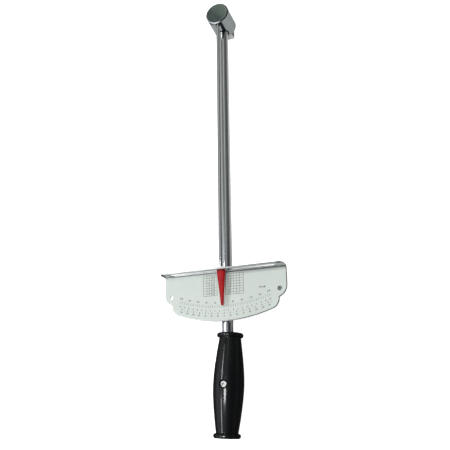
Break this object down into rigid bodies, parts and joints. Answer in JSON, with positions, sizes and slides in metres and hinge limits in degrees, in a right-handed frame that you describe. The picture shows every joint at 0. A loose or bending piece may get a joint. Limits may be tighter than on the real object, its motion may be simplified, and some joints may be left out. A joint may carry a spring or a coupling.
{
  "type": "beam torque wrench",
  "caption": "Beam torque wrench: square drive head, flexing round bar, fixed pointer rod with red tip over a bent slotted scale plate, and a barrel grip that rocks on a pivot.",
  "frame": {"origin": "on the drive axis at the head's drive-side face, where the drive square begins", "axes": "+X along the bar from the head to the grip, +Z out of the scale towards the reader, +Y to the reader's right with the head at the top"},
  "size_m": [0.4709, 0.127, 0.0465],
  "materials": {
    "head_steel": "satin turned steel, darker on the dial-side face",
    "bright_steel": "bright hardened steel",
    "spring_steel": "dark spring steel",
    "polished_bar": "polished bright bar",
    "red_paint": "glossy red",
    "plate_metal": "satin sheet steel",
    "printed_face": "pale grey-green sheet with dark print",
    "zinc_plate": "zinc-plated steel",
    "black_grip": "glossy black moulding",
    "rivet_steel": "plain bright steel",
    "spacer_nylon": "natural nylon"
  },
  "bodies": {
    "head": {"drive_head": "head_steel", "detent_spring": "spring_steel", "beam_lock_pin": "spring_steel", "pointer_rod": "polished_bar", "pointer_tip": "red_paint"},
    "arm": {"flex_beam": "polished_bar", "scale_plate": "plate_metal", "scale_face": "printed_face", "beam_saddle": "zinc_plate", "clamp_strap": "zinc_plate", "clamp_screws": "zinc_plate", "clamp_washers": "spring_steel", "clamp_nuts": "zinc_plate", "spacer_washer_dial_side": "spacer_nylon", "spacer_washer_drive_side": "spacer_nylon"},
    "handle": {"grip": "black_grip", "pivot_sleeve": "bright_steel", "pivot_rivet": "rivet_steel", "rivet_washer": "rivet_steel"},
    "ball": {"detent_ball": "bright_steel"}
  },
  "joints": [
    {"name": "beam_flex", "type": "hinge", "parent": "head", "child": "arm", "pos_m": [0.135, 0, 0.0077], "axis": [0, 0, 1], "range_deg": [-12.5, 12.5], "stiffness_Nm_per_rad": 615, "deforming": ["flex_beam"]},
    {"name": "handle_pivot", "type": "hinge", "parent": "arm", "child": "handle", "pos_m": [0.4095, 0, 0.0077], "axis": [0, 0, 1], "range_deg": [-0.5, 6.5]},
    {"name": "detent_press", "type": "slide", "parent": "head", "child": "ball", "axis": [-1, 0, 0], "range_m": [0, 0.0009], "stiffness_N_per_m": 800, "springref_m": -0.001, "deforming": ["detent_spring"]}
  ]
}
